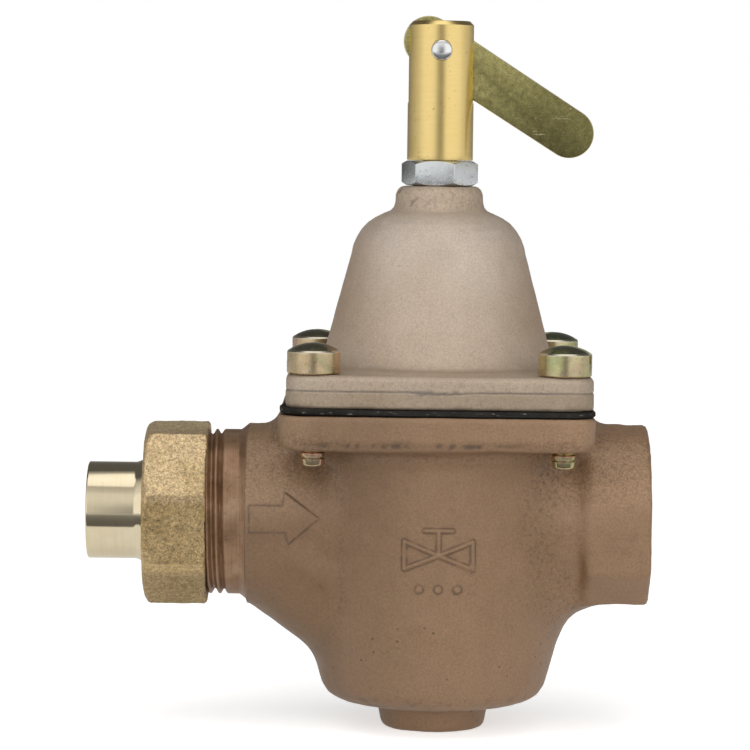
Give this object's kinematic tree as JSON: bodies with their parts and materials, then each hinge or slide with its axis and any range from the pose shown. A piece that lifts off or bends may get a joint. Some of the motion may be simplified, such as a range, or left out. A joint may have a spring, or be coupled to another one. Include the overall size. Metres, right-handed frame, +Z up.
{
  "type": "pressure reducing valve",
  "caption": "Bronze pressure reducing valve with union inlet, threaded outlet, bell-shaped spring housing, slotted adjusting post and a fast-fill lever.",
  "frame": {"origin": "centre of the flat face under the bottom boss, on the stem axis", "axes": "+Z up along the stem axis, +X along the flow from inlet to outlet, +Y away from the side with the cast flow arrow"},
  "size_m": [0.1082, 0.0594, 0.1377],
  "materials": {
    "cast_bronze": "sand-cast bronze, fine grain, brown",
    "housing_bronze": "shot-blasted bronze, beige",
    "turned_brass": "satin turned brass",
    "lever_brass": "tarnished brass sheet, olive",
    "union_brass": "rough forged brass",
    "tail_brass": "polished pale brass",
    "zinc_plate": "bright zinc plate",
    "yellow_zinc": "yellow chromate zinc plate",
    "steel": "stainless steel",
    "rubber": "black fabric-reinforced rubber",
    "fibre_gasket": "red-brown fibre",
    "acetal": "off-white acetal"
  },
  "bodies": {
    "root": {"body": "cast_bronze", "spring_housing": "housing_bronze", "diaphragm": "rubber", "cover_screw_front_left": "yellow_zinc", "cover_screw_front_right": "yellow_zinc", "cover_screw_rear_left": "yellow_zinc", "cover_screw_rear_right": "yellow_zinc", "inlet_strainer": "steel", "check_cage": "acetal", "check_spring": "steel", "seat_ring": "union_brass", "disc_spring": "steel", "range_spring": "steel"},
    "tailpiece": {"union_tailpiece": "tail_brass", "union_gasket": "fibre_gasket"},
    "union_nut": {"union_nut": "union_brass"},
    "spring_button": {"spring_button": "steel"},
    "adjusting_screw": {"adjusting_screw": "turned_brass", "lever_pin": "steel"},
    "lever": {"lever": "lever_brass"},
    "stem": {"push_rod": "steel", "valve_stem": "steel", "disc_holder": "union_brass", "valve_disc": "rubber", "lower_diaphragm_plate": "union_brass", "upper_diaphragm_plate": "steel", "diaphragm_nut": "steel"},
    "lock_nut": {"lock_nut": "zinc_plate"},
    "check_poppet": {"check_poppet": "rubber"}
  },
  "joints": [
    {"name": "union_slide", "type": "slide", "parent": "root", "child": "tailpiece", "axis": [-1, 0, 0], "range_m": [0, 0.0055]},
    {"name": "union_nut_turn", "type": "hinge", "parent": "tailpiece", "child": "union_nut", "pos_m": [-0.05, 0, 0.0414], "axis": [-1, 0, 0], "range_deg": [0, 1080]},
    {"name": "button_lift", "type": "slide", "parent": "root", "child": "spring_button", "axis": [0, 0, 1], "range_m": [0, 0.00564], "deforming": ["range_spring"]},
    {"name": "adjusting_screw_turn", "type": "hinge", "parent": "spring_button", "child": "adjusting_screw", "pos_m": [0, 0, 0.11], "axis": [0, 0, 1], "range_deg": [0, 1440]},
    {"name": "lever_swing", "type": "hinge", "parent": "adjusting_screw", "child": "lever", "pos_m": [0, 0, 0.131], "axis": [0, -1, 0], "range_deg": [0, 121.6]},
    {"name": "stem_travel", "type": "slide", "parent": "root", "child": "stem", "axis": [0, 0, -1], "range_m": [0, 0.00153], "deforming": ["diaphragm", "disc_spring"]},
    {"name": "lock_nut_turn", "type": "hinge", "parent": "root", "child": "lock_nut", "pos_m": [0, 0, 0.1075], "axis": [0, 0, 1], "range_deg": [0, 60]},
    {"name": "check_travel", "type": "slide", "parent": "root", "child": "check_poppet", "axis": [1, 0, 0], "range_m": [0, 0.0016], "stiffness_N_per_m": 30, "springref_m": -0.002, "deforming": ["check_spring"]}
  ],
  "couplings": [
    {"joint": "union_slide", "follows": "union_nut_turn", "m_per_rad": 0.00028871},
    {"joint": "adjusting_screw_turn", "follows": "button_lift", "rad_per_m": 4453},
    {"joint": "lever_swing", "follows": "stem_travel", "rad_per_m": 1388.9}
  ]
}
